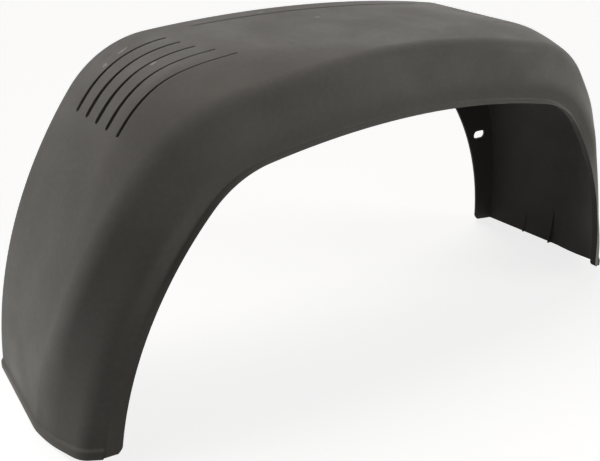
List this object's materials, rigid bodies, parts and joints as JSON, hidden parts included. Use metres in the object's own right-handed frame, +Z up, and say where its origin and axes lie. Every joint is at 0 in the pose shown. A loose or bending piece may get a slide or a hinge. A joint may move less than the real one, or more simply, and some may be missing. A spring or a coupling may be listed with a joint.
{
  "type": "trailer mudguard",
  "caption": "One-piece moulded mudguard for a single trailer wheel, with a flange for bolting on, a rounded outer lip and vent slots in both shoulders.",
  "frame": {"origin": "middle of the box round the guard, at the level of its feet", "axes": "+X along the guard, +Y out of the mounting face towards the trailer, +Z up"},
  "size_m": [0.7824, 0.22, 0.3528],
  "materials": {
    "plastic": "satin moulded plastic, warm dark grey, with light scuffs"
  },
  "bodies": {
    "root": {"mudguard": "plastic"}
  },
  "joints": []
}
